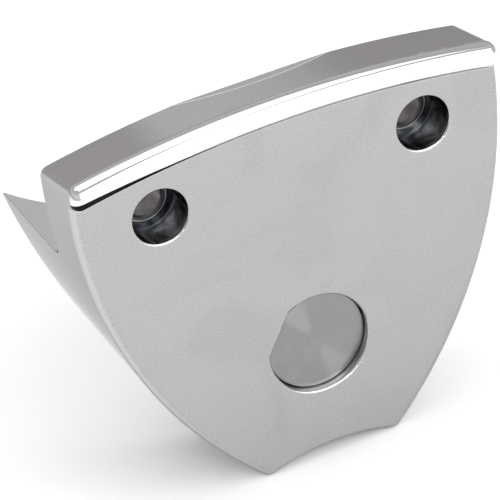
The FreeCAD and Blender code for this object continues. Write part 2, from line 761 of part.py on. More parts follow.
def lamp_nut():
    """The hexagon nut that clamps the lamp shell."""
    body = new_body("lamp_nut")
    seat = "dims.well_floor + dims.washer_thick + dims.spring_thick"
    low = -(d("well_floor") + d("washer_thick") + d("spring_thick"))
    lamp_hexagon(body, "nut", seat, "nut_flats", "dims.nut_thick")
    high = low - d("nut_thick")
    corner_groove(body, "nut_back", low, "-(" + seat + ")", -1, "nut_flats")
    corner_groove(body, "nut_front", high, "-(" + seat + ") - dims.nut_thick", 1, "nut_flats")
    bore = new_sketch(body, "nut_bore_circle", "XZ_Plane", seat + " + dims.nut_thick")
    circle(bore, "bore", 0, -d("lamp_drop"), d("nut_bore_radius"), None, "dims.lamp_drop",
           "dims.nut_bore_radius")
    pocket(body, "nut_bore", bore, "dims.nut_thick + dims.overrun")

    def on_rim(spot):
        reach = math.hypot(spot.x, spot.z + d("lamp_drop"))
        end = min(abs(spot.y - low), abs(spot.y - high)) < ON_PLANE
        return end and abs(reach - d("nut_bore_radius")) < ON_PLANE

    eased(body, "nut_rims", on_rim, "nut_chamfer")


SHELL_SIDE = "dims.saddle_back - dims.saddle_radius + dims.lining_thick + dims.shell_gap"


def backing_plate():
    """The plate inside the lamp shell: round towards the shell, flat under the stud's head."""
    body = new_body("backing_plate")
    radius = d("saddle_radius") - d("lining_thick") - d("shell_gap")
    half = d("backing_wide") / 2
    rear = d("saddle_back") - radius + d("backing_thick")
    lean = math.asin(half / radius)
    edge = d("saddle_back") - radius * math.cos(lean)
    sketch = new_sketch(body, "backing_profile", "XY_Plane", "-dims.lamp_drop")
    bed = Part.Circle(V(0, d("saddle_back"), 0), V(0, 0, 1), radius)
    sketch.addGeometry(Part.ArcOfCircle(bed, 1.5 * math.pi - lean, 1.5 * math.pi + lean), False)
    spots = [V(half, edge, 0), V(half, rear, 0), V(-half, rear, 0), V(-half, edge, 0)]
    for index in range(3):
        sketch.addGeometry(Part.LineSegment(spots[index], spots[index + 1]), False)
    for first in range(3):
        sketch.addConstraint(Sketcher.Constraint("Coincident", first, 2, first + 1, 1))
    sketch.addConstraint(Sketcher.Constraint("Coincident", 3, 2, 0, 1))
    sketch.addConstraint(Sketcher.Constraint("Vertical", 1))
    sketch.addConstraint(Sketcher.Constraint("Vertical", 3))
    sketch.addConstraint(Sketcher.Constraint("Horizontal", 2))
    sketch.addConstraint(Sketcher.Constraint("PointOnObject", 0, 3, -2))
    measure(sketch, "DistanceY", "axis", "dims.saddle_back", d("saddle_back"), -1, 1, 0, 3)
    source = "dims.saddle_radius - dims.lining_thick - dims.shell_gap"
    measure(sketch, "Radius", "bed", source, radius, 0)
    measure(sketch, "DistanceX", "right", "dims.backing_wide / 2", half, -1, 1, 1, 1)
    measure(sketch, "DistanceX", "left", "dims.backing_wide / 2", half, 3, 1, -1, 1)
    measure(sketch, "DistanceY", "rear", SHELL_SIDE + " + dims.backing_thick", rear,
            -1, 1, 1, 2)
    pad(body, "backing", sketch, "dims.backing_long", middle=True)
    hole = new_sketch(body, "backing_hole_circle", "XZ_Plane")
    circle(hole, "hole", 0, -d("lamp_drop"), d("stud_hole_radius"), None, "dims.lamp_drop",
           "dims.stud_hole_radius")
    pocket(body, "backing_hole", hole, "dims.cut_through", middle=True)


def saddle_lining():
    """The rubber lining of the saddle, with a hole for the stud."""
    body = new_body("saddle_lining")
    outer = d("saddle_radius") - d("lining_clear")
    inner = d("saddle_radius") - d("lining_thick")
    lean = math.asin(d("lining_wide") / 2 / outer)
    centre = V(0, d("saddle_back"), 0)
    low = 1.5 * math.pi - lean
    high = 1.5 * math.pi + lean
    sketch = new_sketch(body, "lining_profile", "XY_Plane", "-dims.lamp_drop")
    arcs = []
    for radius in (outer, inner):
        ring = Part.Circle(centre, V(0, 0, 1), radius)
        arcs.append(sketch.addGeometry(Part.ArcOfCircle(ring, low, high), False))
    ends = []
    for angle in (low, high):
        way = V(math.cos(angle), math.sin(angle), 0)
        ends.append(sketch.addGeometry(Part.LineSegment(centre + way * inner,
                                                        centre + way * outer), False))
    for spot, line in ((1, ends[0]), (2, ends[1])):
        sketch.addConstraint(Sketcher.Constraint("Coincident", line, 1, arcs[1], spot))
        sketch.addConstraint(Sketcher.Constraint("Coincident", line, 2, arcs[0], spot))
        sketch.addConstraint(Sketcher.Constraint("PointOnObject", arcs[0], 3, line))
    sketch.addConstraint(Sketcher.Constraint("Coincident", arcs[0], 3, arcs[1], 3))
    sketch.addConstraint(Sketcher.Constraint("PointOnObject", arcs[0], 3, -2))
    sketch.addConstraint(Sketcher.Constraint("Symmetric", arcs[0], 1, arcs[0], 2, -2))
    measure(sketch, "DistanceY", "axis", "dims.saddle_back", d("saddle_back"),
            -1, 1, arcs[0], 3)
    source = "dims.saddle_radius - dims.lining_clear"
    measure(sketch, "Radius", "outer", source, outer, arcs[0])
    measure(sketch, "Radius", "inner", "dims.saddle_radius - dims.lining_thick", inner, arcs[1])
    measure(sketch, "DistanceX", "wide", "dims.lining_wide", d("lining_wide"),
            arcs[0], 1, arcs[0], 2)
    pad(body, "lining", sketch, "dims.lining_long", middle=True)
    hole = new_sketch(body, "lining_hole_circle", "XZ_Plane")
    circle(hole, "hole", 0, -d("lamp_drop"), d("stud_hole_radius"), None, "dims.lamp_drop",
           "dims.stud_hole_radius")
    pocket(body, "lining_hole", hole, "dims.cut_through", middle=True)


def lamp_stud():
    """The hexagon-headed stud that comes through the lamp shell from inside."""
    body = new_body("lamp_stud")
    under = d("saddle_back") - d("saddle_radius") + d("lining_thick") + d("shell_gap")
    under += d("backing_thick")
    under_name = SHELL_SIDE + " + dims.backing_thick"
    tip_name = "dims.well_floor + dims.washer_thick + dims.spring_thick + dims.nut_thick"
    tip_name += " + dims.stud_tip_gap"
    tip = -(d("well_floor") + d("washer_thick") + d("spring_thick") + d("nut_thick"))
    tip -= d("stud_tip_gap")
    lamp_hexagon(body, "head", "-(%s + dims.head_thick)" % under_name, "head_flats",
                 "dims.head_thick")
    corner_groove(body, "head_end", under + d("head_thick"),
                  under_name + " + dims.head_thick", -1, "head_flats")
    lamp_ring(body, "shank", "-(%s)" % under_name, "stud_radius", None,
              under_name + " + " + tip_name)

    def on_tip(spot):
        return abs(spot.y - tip) < ON_PLANE

    eased(body, "shank_tip", on_tip, "nut_chamfer")


def check_and_write():
    """Stop on any bad object, then write one STEP file for each sub-part."""
    doc.recompute()
    for item in doc.Objects:
        for word in ("Invalid", "Error"):
            if word in item.State:
                raise ValueError(item.Name + " is " + word)
    os.makedirs("parts", exist_ok=True)
    for item in doc.Objects:
        if item.TypeId == "PartDesign::Body":
            shape = item.Shape
            if shape.isNull() or not shape.isValid():
                raise ValueError(item.Label + " has a bad shape")
            box = shape.BoundBox
            print(item.Label, round(shape.Volume), len(shape.Solids), box)
            shape.exportStep("parts/" + item.Label + ".step")


bracket_body()
screw_sleeve("sleeve_right", 1)
screw_sleeve("sleeve_left", -1)
cover_disc()
cover_ring()
flat_washer()
lock_washer()
lamp_nut()
saddle_lining()
backing_plate()
lamp_stud()
check_and_write()
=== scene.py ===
import json
import logging
import math
from dataclasses import dataclass, field
from enum import Enum

import bmesh
import bpy
from mathutils import Matrix, Vector


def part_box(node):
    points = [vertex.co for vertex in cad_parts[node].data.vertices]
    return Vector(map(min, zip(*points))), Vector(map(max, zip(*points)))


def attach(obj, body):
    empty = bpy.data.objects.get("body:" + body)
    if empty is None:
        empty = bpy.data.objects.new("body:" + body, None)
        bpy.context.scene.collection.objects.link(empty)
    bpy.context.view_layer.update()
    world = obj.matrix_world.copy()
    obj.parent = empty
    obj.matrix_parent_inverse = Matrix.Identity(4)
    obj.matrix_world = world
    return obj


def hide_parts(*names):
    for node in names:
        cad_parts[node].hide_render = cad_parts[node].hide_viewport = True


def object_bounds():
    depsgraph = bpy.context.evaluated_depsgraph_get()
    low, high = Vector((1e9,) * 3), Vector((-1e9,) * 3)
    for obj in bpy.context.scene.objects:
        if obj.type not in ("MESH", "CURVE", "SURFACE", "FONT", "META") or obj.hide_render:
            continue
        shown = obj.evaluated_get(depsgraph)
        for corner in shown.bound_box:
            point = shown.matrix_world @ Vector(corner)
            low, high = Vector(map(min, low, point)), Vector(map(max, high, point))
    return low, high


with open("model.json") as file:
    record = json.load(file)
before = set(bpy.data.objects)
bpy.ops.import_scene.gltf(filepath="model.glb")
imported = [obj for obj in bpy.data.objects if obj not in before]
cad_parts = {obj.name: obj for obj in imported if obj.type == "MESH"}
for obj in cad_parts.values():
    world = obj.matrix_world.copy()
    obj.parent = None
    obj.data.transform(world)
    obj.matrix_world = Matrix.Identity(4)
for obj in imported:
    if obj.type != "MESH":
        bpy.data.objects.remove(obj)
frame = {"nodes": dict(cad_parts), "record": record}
cad_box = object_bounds()

MM = 0.001
FULL_TURN = 2 * math.pi

# a place on the stud's axis, and how far each screw's axis is from the middle
STUD_LINE = Vector((0.0, 0.0, -45.2 * MM))
SCREW_OUT = 31.75 * MM

# the crown's slope, the bead on its front edge and the short flat behind it
CROWN_SLOPE = math.radians(9.5)
BEAD_RADIUS = 3.0 * MM
BEAD_BEHIND = 0.5 * MM
BEAD_LEAVE = math.radians(24.0)
FLAT_RUN = 5.0 * MM
FLAT_SLOPE = math.radians(17.0)

SLEEVES = ("sleeve_right", "sleeve_left")

log = logging.getLogger("bracket")


class Slot(Enum):
    """The record's material slots."""

    POLISHED = "polished_metal"
    TURNED = "turned_metal"
    PLATED = "plated_steel"
    SPRING = "spring_steel"
    RUBBER = "black_rubber"


class Body(Enum):
    """The rigid body that the new piece rides on."""

    BRACKET = "bracket"


class Sockets(Enum):
    """Kinds of socket on a shader group."""

    VALUE = "NodeSocketFloat"
    VECTOR = "NodeSocketVector"


class Graph:
    """A small wrapper that places and links shader nodes."""

    def __init__(self, tree: bpy.types.NodeTree) -> None:
        """Start on an empty tree.

        Args:
            tree: The node tree to fill.
        """
        self.tree = tree
        self.tree.nodes.clear()

    def node(self, kind: str, **settings: object) -> bpy.types.Node:
        """Add a node and set its properties.

        Args:
            kind: The node's type name.
            settings: Properties of the node and their values.

        Returns:
            The new node.
        """
        made = self.tree.nodes.new(kind)
        for name, value in settings.items():
            setattr(made, name, value)
        return made

    def feed(self, target: bpy.types.NodeSocket, source: object) -> None:
        """Link a socket into another, or set a plain value on it.

        Args:
            target: The input socket.
            source: An output socket or a value.
        """
        if isinstance(source, bpy.types.NodeSocket):
            self.tree.links.new(source, target)
        else:
            target.default_value = source

    def math(self, operation: str, *inputs: object) -> bpy.types.NodeSocket:
        """Add a Math node.

        Args:
            operation: The node's operation.
            inputs: Sockets or numbers for its inputs, in order.

        Returns:
            The result's socket.
        """
        made = self.node("ShaderNodeMath", operation=operation)
        for index, value in enumerate(inputs):
            self.feed(made.inputs[index], value)
        return made.outputs[0]

    def distance(self, first: object, second: object) -> bpy.types.NodeSocket:
        """Find how far a place is from an axis by its two offsets.

        Args:
            first: The offset one way.
            second: The offset across that.

        Returns:
            The distance's socket.
        """
        square = self.math("MULTIPLY", first, first)
        return self.math("SQRT", self.math("MULTIPLY_ADD", second, second, square))

    def screw_distance(self, x: object, z: object) -> bpy.types.NodeSocket:
        """Find how far a place is from the nearer screw's axis.

        Args:
            x: The place across the bracket.
            z: The place's height.

        Returns:
            The distance's socket.
        """
        return self.distance(self.math("SUBTRACT", self.math("ABSOLUTE", x), SCREW_OUT), z)

    def band(self, value: object, low: float, high: float) -> bpy.types.NodeSocket:
        """Rise smoothly from 0 at low to 1 at high, which may be below low.

        Args:
            value: The socket to read.
            low: Where the rise starts.
            high: Where the rise ends.

        Returns:
            The mask's socket.
        """
        made = self.node("ShaderNodeMapRange", interpolation_type="SMOOTHSTEP")
        flip = low > high
        self.feed(made.inputs["Value"], value)
        made.inputs["From Min"].default_value = min(low, high)
        made.inputs["From Max"].default_value = max(low, high)
        made.inputs["To Min"].default_value = 1.0 if flip else 0.0
        made.inputs["To Max"].default_value = 0.0 if flip else 1.0
        return made.outputs["Result"]

    def blend(self, factor: object, first: object, second: object) -> bpy.types.NodeSocket:
        """Mix two colours by a factor.

        Args:
            factor: The socket that picks the second colour.
            first: The colour at 0, a tuple or a socket.
            second: The colour at 1, a tuple or a socket.

        Returns:
            The colour's socket.
        """
        made = self.node("ShaderNodeMix", data_type="RGBA")
        self.feed(made.inputs["Factor"], factor)
        self.feed(made.inputs[6], first)
        self.feed(made.inputs[7], second)
        return made.outputs[2]

    def place(self) -> tuple[bpy.types.NodeSocket, tuple]:
        """Read the place on the piece in the row frame.

        Returns:
            The vector's socket and its three parts.
        """
        coords = self.node("ShaderNodeTexCoord").outputs["Object"]
        parts = self.node("ShaderNodeSeparateXYZ")
        self.feed(parts.inputs[0], coords)
        return coords, (parts.outputs[0], parts.outputs[1], parts.outputs[2])

    def use(self, group: bpy.types.NodeTree, **inputs: object) -> bpy.types.Node:
        """Place a shader group with its own values.

        Args:
            group: The shared group.
            inputs: Values or sockets by input name, with _ for a space.

        Returns:
            The group's node.
        """
        made = self.node("ShaderNodeGroup", node_tree=group)
        for name, value in inputs.items():
            self.feed(made.inputs[name.replace("_", " ")], value)
        return made


@dataclass
class Effects:
    """The effects that several finishes share, each built once."""

    grain_detail: float = 3.0
    grain_roughness: float = 0.6
    smear_detail: float = 4.0
    smear_warp: float = 1.2
    smear_span: tuple = (0.42, 0.68)
    ring_scale: float = 1.0
    ring_detail: float = 2.0

    def __post_init__(self) -> None:
        """Build the groups."""
        self.grain = self._grain()
        self.smudge = self._smudge()
        self.rings = self._rings()

    @staticmethod
    def _group(name: str, inputs: dict, outputs: tuple) -> tuple[Graph, dict, dict]:
        """Make a group with its sockets.

        Args:
            name: The group's name.
            inputs: Kinds and defaults of the inputs by name.
            outputs: Names of the number outputs.

        Returns:
            The graph, its input sockets and its output sockets.
        """
        tree = bpy.data.node_groups.new(name, "ShaderNodeTree")
        for label, (kind, default) in inputs.items():
            socket = tree.interface.new_socket(label, in_out="INPUT", socket_type=kind.value)
            if kind is Sockets.VALUE:
                socket.default_value = default
        for label in outputs:
            tree.interface.new_socket(label, in_out="OUTPUT", socket_type=Sockets.VALUE.value)
        graph = Graph(tree)
        source = graph.node("NodeGroupInput")
        sink = graph.node("NodeGroupOutput")
        ins = {label: source.outputs[label] for label in inputs}
        outs = {label: sink.inputs[label] for label in outputs}
        return graph, ins, outs

    def _grain(self) -> bpy.types.NodeTree:
        """Fine polishing grain, even in all directions.

        Returns:
            The group.
        """
        graph, ins, outs = self._group(
            "fine_grain",
            {"Vector": (Sockets.VECTOR, None), "Scale": (Sockets.VALUE, 2500.0)},
            ("Grain",),
        )
        fine = graph.node("ShaderNodeTexNoise")
        graph.feed(fine.inputs["Vector"], ins["Vector"])
        graph.feed(fine.inputs["Scale"], ins["Scale"])
        fine.inputs["Detail"].default_value = self.grain_detail
        fine.inputs["Roughness"].default_value = self.grain_roughness
        graph.feed(outs["Grain"], fine.outputs["Fac"])
        return graph.tree

    def _smudge(self) -> bpy.types.NodeTree:
        """Broad soft smears, as handling and a cloth leave.

        Returns:
            The group.
        """
        graph, ins, outs = self._group(
            "handling_smears",
            {"Vector": (Sockets.VECTOR, None), "Scale": (Sockets.VALUE, 60.0)},
            ("Smear",),
        )
        broad = graph.node("ShaderNodeTexNoise")
        graph.feed(broad.inputs["Vector"], ins["Vector"])
        graph.feed(broad.inputs["Scale"], ins["Scale"])
        broad.inputs["Detail"].default_value = self.smear_detail
        broad.inputs["Distortion"].default_value = self.smear_warp
        graph.feed(outs["Smear"], graph.band(broad.outputs["Fac"], *self.smear_span))
        return graph.tree

    def _rings(self) -> bpy.types.NodeTree:
        """Turning marks: rings round a line parallel to Y.

        Returns:
            The group.
        """
        graph, ins, outs = self._group(
            "turning_rings",
            {
                "Vector": (Sockets.VECTOR, None),
                "Centre X": (Sockets.VALUE, 0.0),
                "Centre Z": (Sockets.VALUE, 0.0),
                "Pitch": (Sockets.VALUE, 0.2 * MM),
            },
            ("Ring", "Radius", "Angle"),
        )
        parts = graph.node("ShaderNodeSeparateXYZ")
        graph.feed(parts.inputs[0], ins["Vector"])
        across = graph.math("SUBTRACT", parts.outputs[0], ins["Centre X"])
        up = graph.math("SUBTRACT", parts.outputs[2], ins["Centre Z"])
        radius = graph.distance(across, up)
        turns = graph.math("DIVIDE", radius, ins["Pitch"])
        marks = graph.node("ShaderNodeTexNoise", noise_dimensions="1D")
        graph.feed(marks.inputs["W"], turns)
        marks.inputs["Scale"].default_value = self.ring_scale
        marks.inputs["Detail"].default_value = self.ring_detail
        graph.feed(outs["Ring"], marks.outputs["Fac"])
        graph.feed(outs["Radius"], radius)
        graph.feed(outs["Angle"], graph.math("ARCTAN2", up, across))
        return graph.tree

    def skin(self, graph: Graph, coords: object, fine: float, broad: float) -> tuple:
        """Place the grain and the smears in a material.

        Args:
            graph: The material's graph.
            coords: The place on the piece.
            fine: The grain's scale.
            broad: The smears' scale.

        Returns:
            The grain's and the smears' sockets.
        """
        grain = graph.use(self.grain, Vector=coords, Scale=fine)
        smear = graph.use(self.smudge, Vector=coords, Scale=broad)
        return grain.outputs["Grain"], smear.outputs["Smear"]


def new_material(name: str) -> tuple[bpy.types.Material, Graph, bpy.types.Node]:
    """Make a material with a Principled shader on its output.

    Args:
        name: The material's name.

    Returns:
        The material, its graph and its shader.
    """
    material = bpy.data.materials.new(name)
    material.use_nodes = True
    graph = Graph(material.node_tree)
    shader = graph.node("ShaderNodeBsdfPrincipled")
    output = graph.node("ShaderNodeOutputMaterial")
    graph.feed(output.inputs["Surface"], shader.outputs["BSDF"])
    return material, graph, shader


def add_bump(graph: Graph, shader: bpy.types.Node, height: object, depth: float) -> None:
    """Raise a bump on the shader's normal.

    Args:
        graph: The material's graph.
        shader: The shader that gets the normal.
        height: The height's socket, 0 to 1.
        depth: The depth of a full step, in metres.
    """
    bump = graph.node("ShaderNodeBump")
    bump.inputs["Strength"].default_value = 1.0
    bump.inputs["Distance"].default_value = depth
    graph.feed(bump.inputs["Height"], height)
    graph.feed(shader.inputs["Normal"], bump.outputs["Normal"])


@dataclass(frozen=True)
class PolishedPlating:
    """Bright plating on the one-piece bracket, with painted highlights on the bead and the
    crown's back crest, a painted dark line along the bead's underside, painted shade on the
    face, and dark in the holes.

    A span is the pair of places where a mask starts and where it is full.
    """

    bright: tuple = (0.560, 0.560, 0.562, 1.0)
    dull: tuple = (0.505, 0.505, 0.507, 1.0)
    # painted shade: the face takes darker copies of the plating's tones than the walls, to
    # set its brightness; the mix between them by grain and smears is real speckle
    face_painted_shade_pale: tuple = (0.482, 0.482, 0.484, 1.0)
    face_painted_shade_dark: tuple = (0.372, 0.372, 0.374, 1.0)
    # painted highlight: near-white tone on the bead's front and the crown's back crest,
    # standing in for their bright reflections
    painted_highlight_tone: tuple = (0.960, 0.960, 0.962, 1.0)
    grazing: tuple = (0.62, 0.62, 0.625, 1.0)
    deep: tuple = (0.070, 0.077, 0.088, 1.0)
    bored: tuple = (0.230, 0.238, 0.250, 1.0)
    # painted dark line: near-black tone along the bead's underside, standing in for a dark
    # reflection
    painted_dark_line_tone: tuple = (0.012, 0.012, 0.014, 1.0)
    face_rough: float = 0.16
    bead_rough: float = 0.045
    face_at: float = -17.5 * MM
    bead_heart: float = 269.0 * MM
    crown_centre: float = -253.4 * MM
    bore_edge: float = 6.75 * MM
    bore_soft: float = 0.25 * MM
    crest_half: float = 0.07 * MM
    grain_scale: float = 3200.0
    smear_scale: float = 38.0
    streak_scale: float = 150.0
    grain_span: tuple = (0.30, 0.70)
    smear_share: float = 0.25
    grain_rough: float = 0.05
    smear_rough: float = 0.02
    recess_rough: float = 0.12
    bump_depth: float = 0.0012 * MM
    below_bead: tuple = (3.0 * MM, 3.6 * MM)
    behind_face: tuple = (0.6 * MM, 0.1 * MM)
    sunk_span: tuple = (0.35 * MM, 1.5 * MM)
    front_span: tuple = (0.05 * MM, 0.3 * MM)
    highlight_span: tuple = (3.0 * MM, 0.2 * MM)
    wedge_across: tuple = (-50.0 * MM, -5.0 * MM)
    wedge_below: tuple = (0.25 * MM, 2.6 * MM)
    wedge_soft: float = 0.15 * MM

    def build(self, effects: Effects) -> bpy.types.Material:
        """Make the material.

        Args:
            effects: The shared shader groups.

        Returns:
            The finished material.
        """
        material, graph, shader = new_material("finish_polished_plating")
        coords, (x, y, z) = graph.place()
        grain, smear = effects.skin(graph, coords, self.grain_scale, self.smear_scale)

        lift = graph.math("SUBTRACT", z, self.crown_centre)
        arc = graph.distance(x, lift)
        below_bead = graph.band(arc, *(self.bead_heart - gap for gap in self.below_bead))
        flat_face = graph.band(y, *(self.face_at + gap for gap in self.behind_face))
        face = graph.math("MULTIPLY", below_bead, flat_face)

        bore = graph.screw_distance(x, z)
        in_bore = graph.band(bore, self.bore_edge + self.bore_soft, self.bore_edge)
        sunk = graph.band(y, *(self.face_at + gap for gap in self.sunk_span))
        recess = graph.math("MULTIPLY", in_bore, sunk)

        # painted highlight mask: the bead's front below its heart line, fading out upwards
        in_front = graph.band(y, *(self.face_at - gap for gap in self.front_span))
        above = graph.math("SUBTRACT", arc, self.bead_heart)
        lower = graph.band(above, *self.highlight_span)
        painted_highlight = graph.math("MULTIPLY", lower, in_front)

        # painted dark line mask: the bead's underside, widest towards the left end
        taper = graph.node("ShaderNodeMapRange")
        graph.feed(taper.inputs["Value"], x)
        for name, value in zip(("From Min", "From Max"), self.wedge_across):
            graph.feed(taper.inputs[name], value)
        for name, value in zip(("To Min", "To Max"), self.wedge_below):
            graph.feed(taper.inputs[name], value)
        depth = graph.math("ADD", above, taper.outputs["Result"])
        quirk = graph.band(depth, self.wedge_soft, -self.wedge_soft)
        painted_dark_line = graph.math("MULTIPLY", quirk, in_front)

        # painted highlight along the crown's back crest
        crest = self._back_crest_highlight(graph, arc, y, z)
        highlight_mask = graph.math("MAXIMUM", painted_highlight, crest)

        specks = graph.band(grain, *self.grain_span)
        speck = graph.math("MULTIPLY_ADD", smear, self.smear_share, specks)
        walls = graph.blend(speck, self.bright, self.dull)
        # the face's darker tones carry painted shade
        front = graph.blend(speck, self.face_painted_shade_pale, self.face_painted_shade_dark)
        tone = graph.blend(face, walls, front)
        # painted highlights on the bead and the back crest
        tone = graph.blend(highlight_mask, tone, self.painted_highlight_tone)
        streak = graph.use(effects.smudge, Vector=coords, Scale=self.streak_scale)
        hollow = graph.blend(streak.outputs["Smear"], self.deep, self.bored)
        tone = graph.blend(recess, tone, hollow)
        # painted dark line along the bead's underside
        tone = graph.blend(painted_dark_line, tone, self.painted_dark_line_tone)
        graph.feed(shader.inputs["Base Color"], tone)
        shader.inputs["Metallic"].default_value = 1.0
        shader.inputs["Specular Tint"].default_value = self.grazing

        satin = graph.math("MULTIPLY", face, self.face_rough - self.bead_rough)
        rough = graph.math("ADD", satin, self.bead_rough)
        rough = graph.math("MULTIPLY_ADD", grain, self.grain_rough, rough)
        rough = graph.math("MULTIPLY_ADD", smear, self.smear_rough, rough)
        rough = graph.math("MULTIPLY_ADD", recess, self.recess_rough, rough)
        graph.feed(shader.inputs["Roughness"], rough)
        add_bump(graph, shader, grain, self.bump_depth)
        return material

    def _back_crest_highlight(self, graph: Graph, arc: object, y: object, z: object) -> object:
        """Mask the crest where the crown meets the short flat behind it, for a painted
        highlight.

        Args:
            graph: The material's graph.
            arc: Distance from the crown's axis.
            y: Depth from the flange's back.
            z: Height above the screws.

        Returns:
            The mask's socket.
        """
        cone_fall = math.tan(CROWN_SLOPE)
        cone_top = self.bead_heart + BEAD_RADIUS * math.cos(BEAD_LEAVE)
        cone_front = self.face_at + BEAD_BEHIND + BEAD_RADIUS * math.sin(BEAD_LEAVE)
        flat_fall = math.tan(FLAT_SLOPE)
        meet = cone_top - (-FLAT_RUN - cone_front) * cone_fall + self.crown_centre
        behind_bead = graph.math("SUBTRACT", y, cone_front)
        cone = graph.math("MULTIPLY_ADD", behind_bead, -cone_fall, cone_top)
        off_cone = graph.math("ABSOLUTE", graph.math("SUBTRACT", arc, cone))
        behind_meet = graph.math("ADD", y, FLAT_RUN)
        level = graph.math("MULTIPLY_ADD", behind_meet, -flat_fall, meet)
        off_flat = graph.math("ABSOLUTE", graph.math("SUBTRACT", z, level))
        furthest = graph.math("MAXIMUM", off_cone, off_flat)
        return graph.band(furthest, self.crest_half, self.crest_half / 3)


@dataclass(frozen=True)
class TurnedFace:
    """Steel faced on a lathe: rings round the disc's centre, and a painted sheen in a soft
    cross through it.
    """

    pale: tuple = (0.315, 0.308, 0.310, 1.0)
    dark: tuple = (0.240, 0.233, 0.236, 1.0)
    # painted sheen: a lighter tone in a soft cross through the disc's centre, standing in for
    # the turned face's reflection
    painted_sheen_tone: tuple = (0.370, 0.363, 0.365, 1.0)
    sheen_turn: float = math.radians(116.0)
    sheen_lobes: float = 2.0
    sheen_span: tuple = (0.70, 1.0)
    sheen_out: tuple = (1.0 * MM, 5.0 * MM)
    sheen_share: float = 0.55
    ring_pitch: float = 0.16 * MM
    ring_share: float = 0.75
    smear_share: float = 0.25
    grain_scale: float = 2600.0
    smear_scale: float = 90.0
    rough: float = 0.22
    ring_rough: float = 0.10
    grain_rough: float = 0.05
    grain_height: float = 0.15
    bump_depth: float = 0.006 * MM

    def build(self, effects: Effects) -> bpy.types.Material:
        """Make the material.

        Args:
            effects: The shared shader groups.

        Returns:
            The finished material.
        """
        material, graph, shader = new_material("finish_turned_steel")
        coords, _ = graph.place()
        turned = graph.use(
            effects.rings,
            Vector=coords,
            Centre_X=STUD_LINE.x,
            Centre_Z=STUD_LINE.z,
            Pitch=self.ring_pitch,
        )
        grain, smear = effects.skin(graph, coords, self.grain_scale, self.smear_scale)
        ring = turned.outputs["Ring"]
        ringed = graph.math("MULTIPLY", ring, self.ring_share)
        mixed = graph.math("MULTIPLY_ADD", smear, self.smear_share, ringed)
        # painted sheen mask: two lobes about one turn, away from the centre
        off_sheen = graph.math("SUBTRACT", turned.outputs["Angle"], self.sheen_turn)
        swing = graph.math("COSINE", graph.math("MULTIPLY", off_sheen, self.sheen_lobes))
        outer = graph.band(turned.outputs["Radius"], *self.sheen_out)
        painted_sheen = graph.math("MULTIPLY", graph.band(swing, *self.sheen_span), outer)
        sheen_amount = graph.math("MULTIPLY", painted_sheen, self.sheen_share)
        tone = graph.blend(sheen_amount, graph.blend(mixed, self.dark, self.pale), self.painted_sheen_tone)
        graph.feed(shader.inputs["Base Color"], tone)
        shader.inputs["Metallic"].default_value = 1.0
        rough = graph.math("MULTIPLY_ADD", ring, self.ring_rough, self.rough)
        rough = graph.math("MULTIPLY_ADD", grain, self.grain_rough, rough)
        graph.feed(shader.inputs["Roughness"], rough)
        height = graph.math("MULTIPLY_ADD", grain, self.grain_height, ring)
        add_bump(graph, shader, height, self.bump_depth)
        return material


@dataclass(frozen=True)
class PlatedSteel:
    """Steel of the fasteners, plated or oiled, with fine grain and darker smears."""

    name: str
    light: tuple
    shade: tuple
    rough: float
    grain_scale: float = 1800.0
    smear_scale: float = 140.0
    grain_share: float = 0.4
    smear_share: float = 0.6
    grain_rough: float = 0.12
    smear_rough: float = 0.08
    bump_depth: float = 0.008 * MM

    def build(self, effects: Effects) -> bpy.types.Material:
        """Make the material.

        Args:
            effects: The shared shader groups.

        Returns:
            The finished material.
        """
        material, graph, shader = new_material(self.name)
        coords, _ = graph.place()
        grain, smear = effects.skin(graph, coords, self.grain_scale, self.smear_scale)
        smeared = graph.math("MULTIPLY", smear, self.smear_share)
        both = graph.math("MULTIPLY_ADD", grain, self.grain_share, smeared)
        graph.feed(shader.inputs["Base Color"], graph.blend(both, self.light, self.shade))
        shader.inputs["Metallic"].default_value = 1.0
        rough = graph.math("MULTIPLY_ADD", grain, self.grain_rough, self.rough)
        rough = graph.math("MULTIPLY_ADD", smear, self.smear_rough, rough)
        graph.feed(shader.inputs["Roughness"], rough)
        add_bump(graph, shader, grain, self.bump_depth)
        return material


